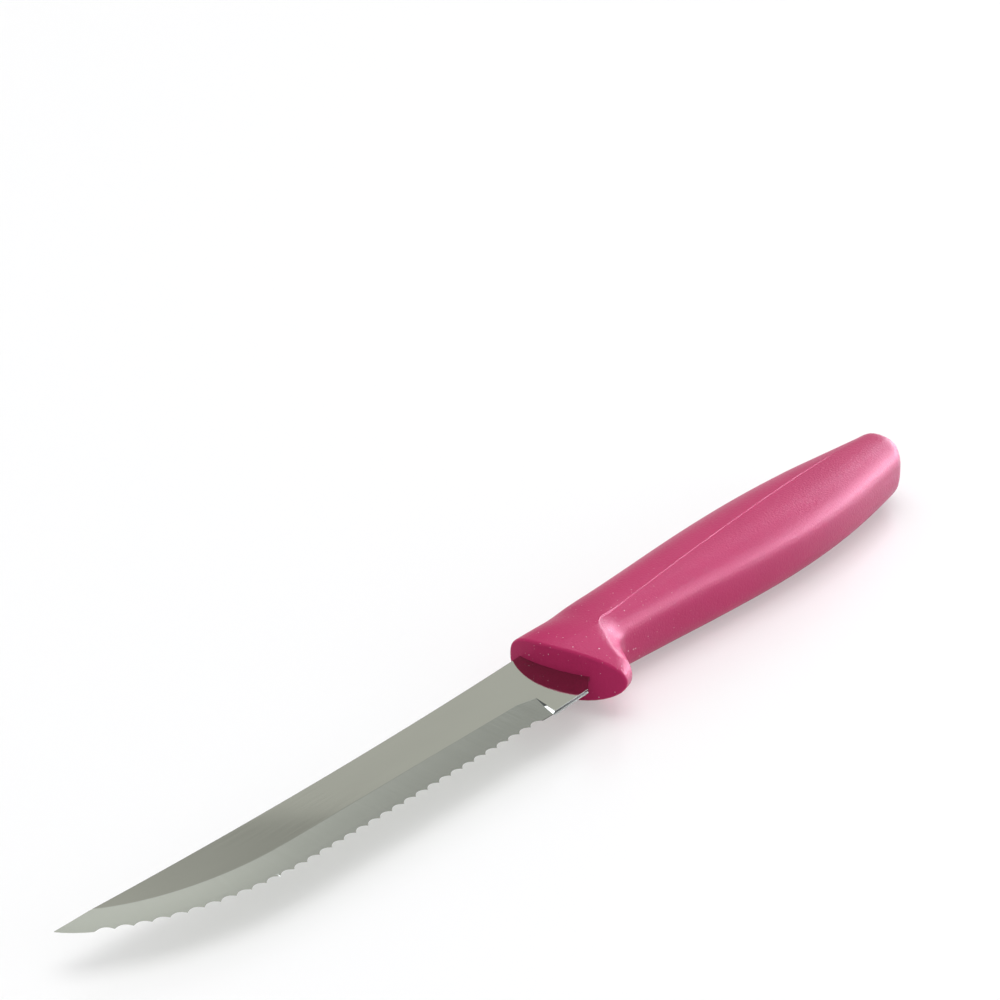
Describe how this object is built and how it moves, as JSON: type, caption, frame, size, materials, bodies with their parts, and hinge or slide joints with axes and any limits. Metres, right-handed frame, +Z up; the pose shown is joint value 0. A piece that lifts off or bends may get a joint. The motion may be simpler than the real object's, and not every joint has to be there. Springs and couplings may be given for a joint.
{
  "type": "steak knife",
  "caption": "Fixed-blade steak knife with a slim upswept scalloped blade and a moulded plastic handle that has a finger-guard collar and a scooped grip.",
  "frame": {"origin": "under the middle of the bounding box, on the surface that the knife lies on", "axes": "+X from the tip to the butt, +Y towards the back of the blade, +Z up out of the blade's flat"},
  "size_m": [0.241, 0.0258, 0.0151],
  "materials": {
    "blade_steel": "polished stainless sheet with a finely ground bevel",
    "handle_plastic": "moulded plastic with a fine satin grain"
  },
  "bodies": {
    "root": {"blade": "blade_steel", "handle": "handle_plastic"}
  },
  "joints": []
}
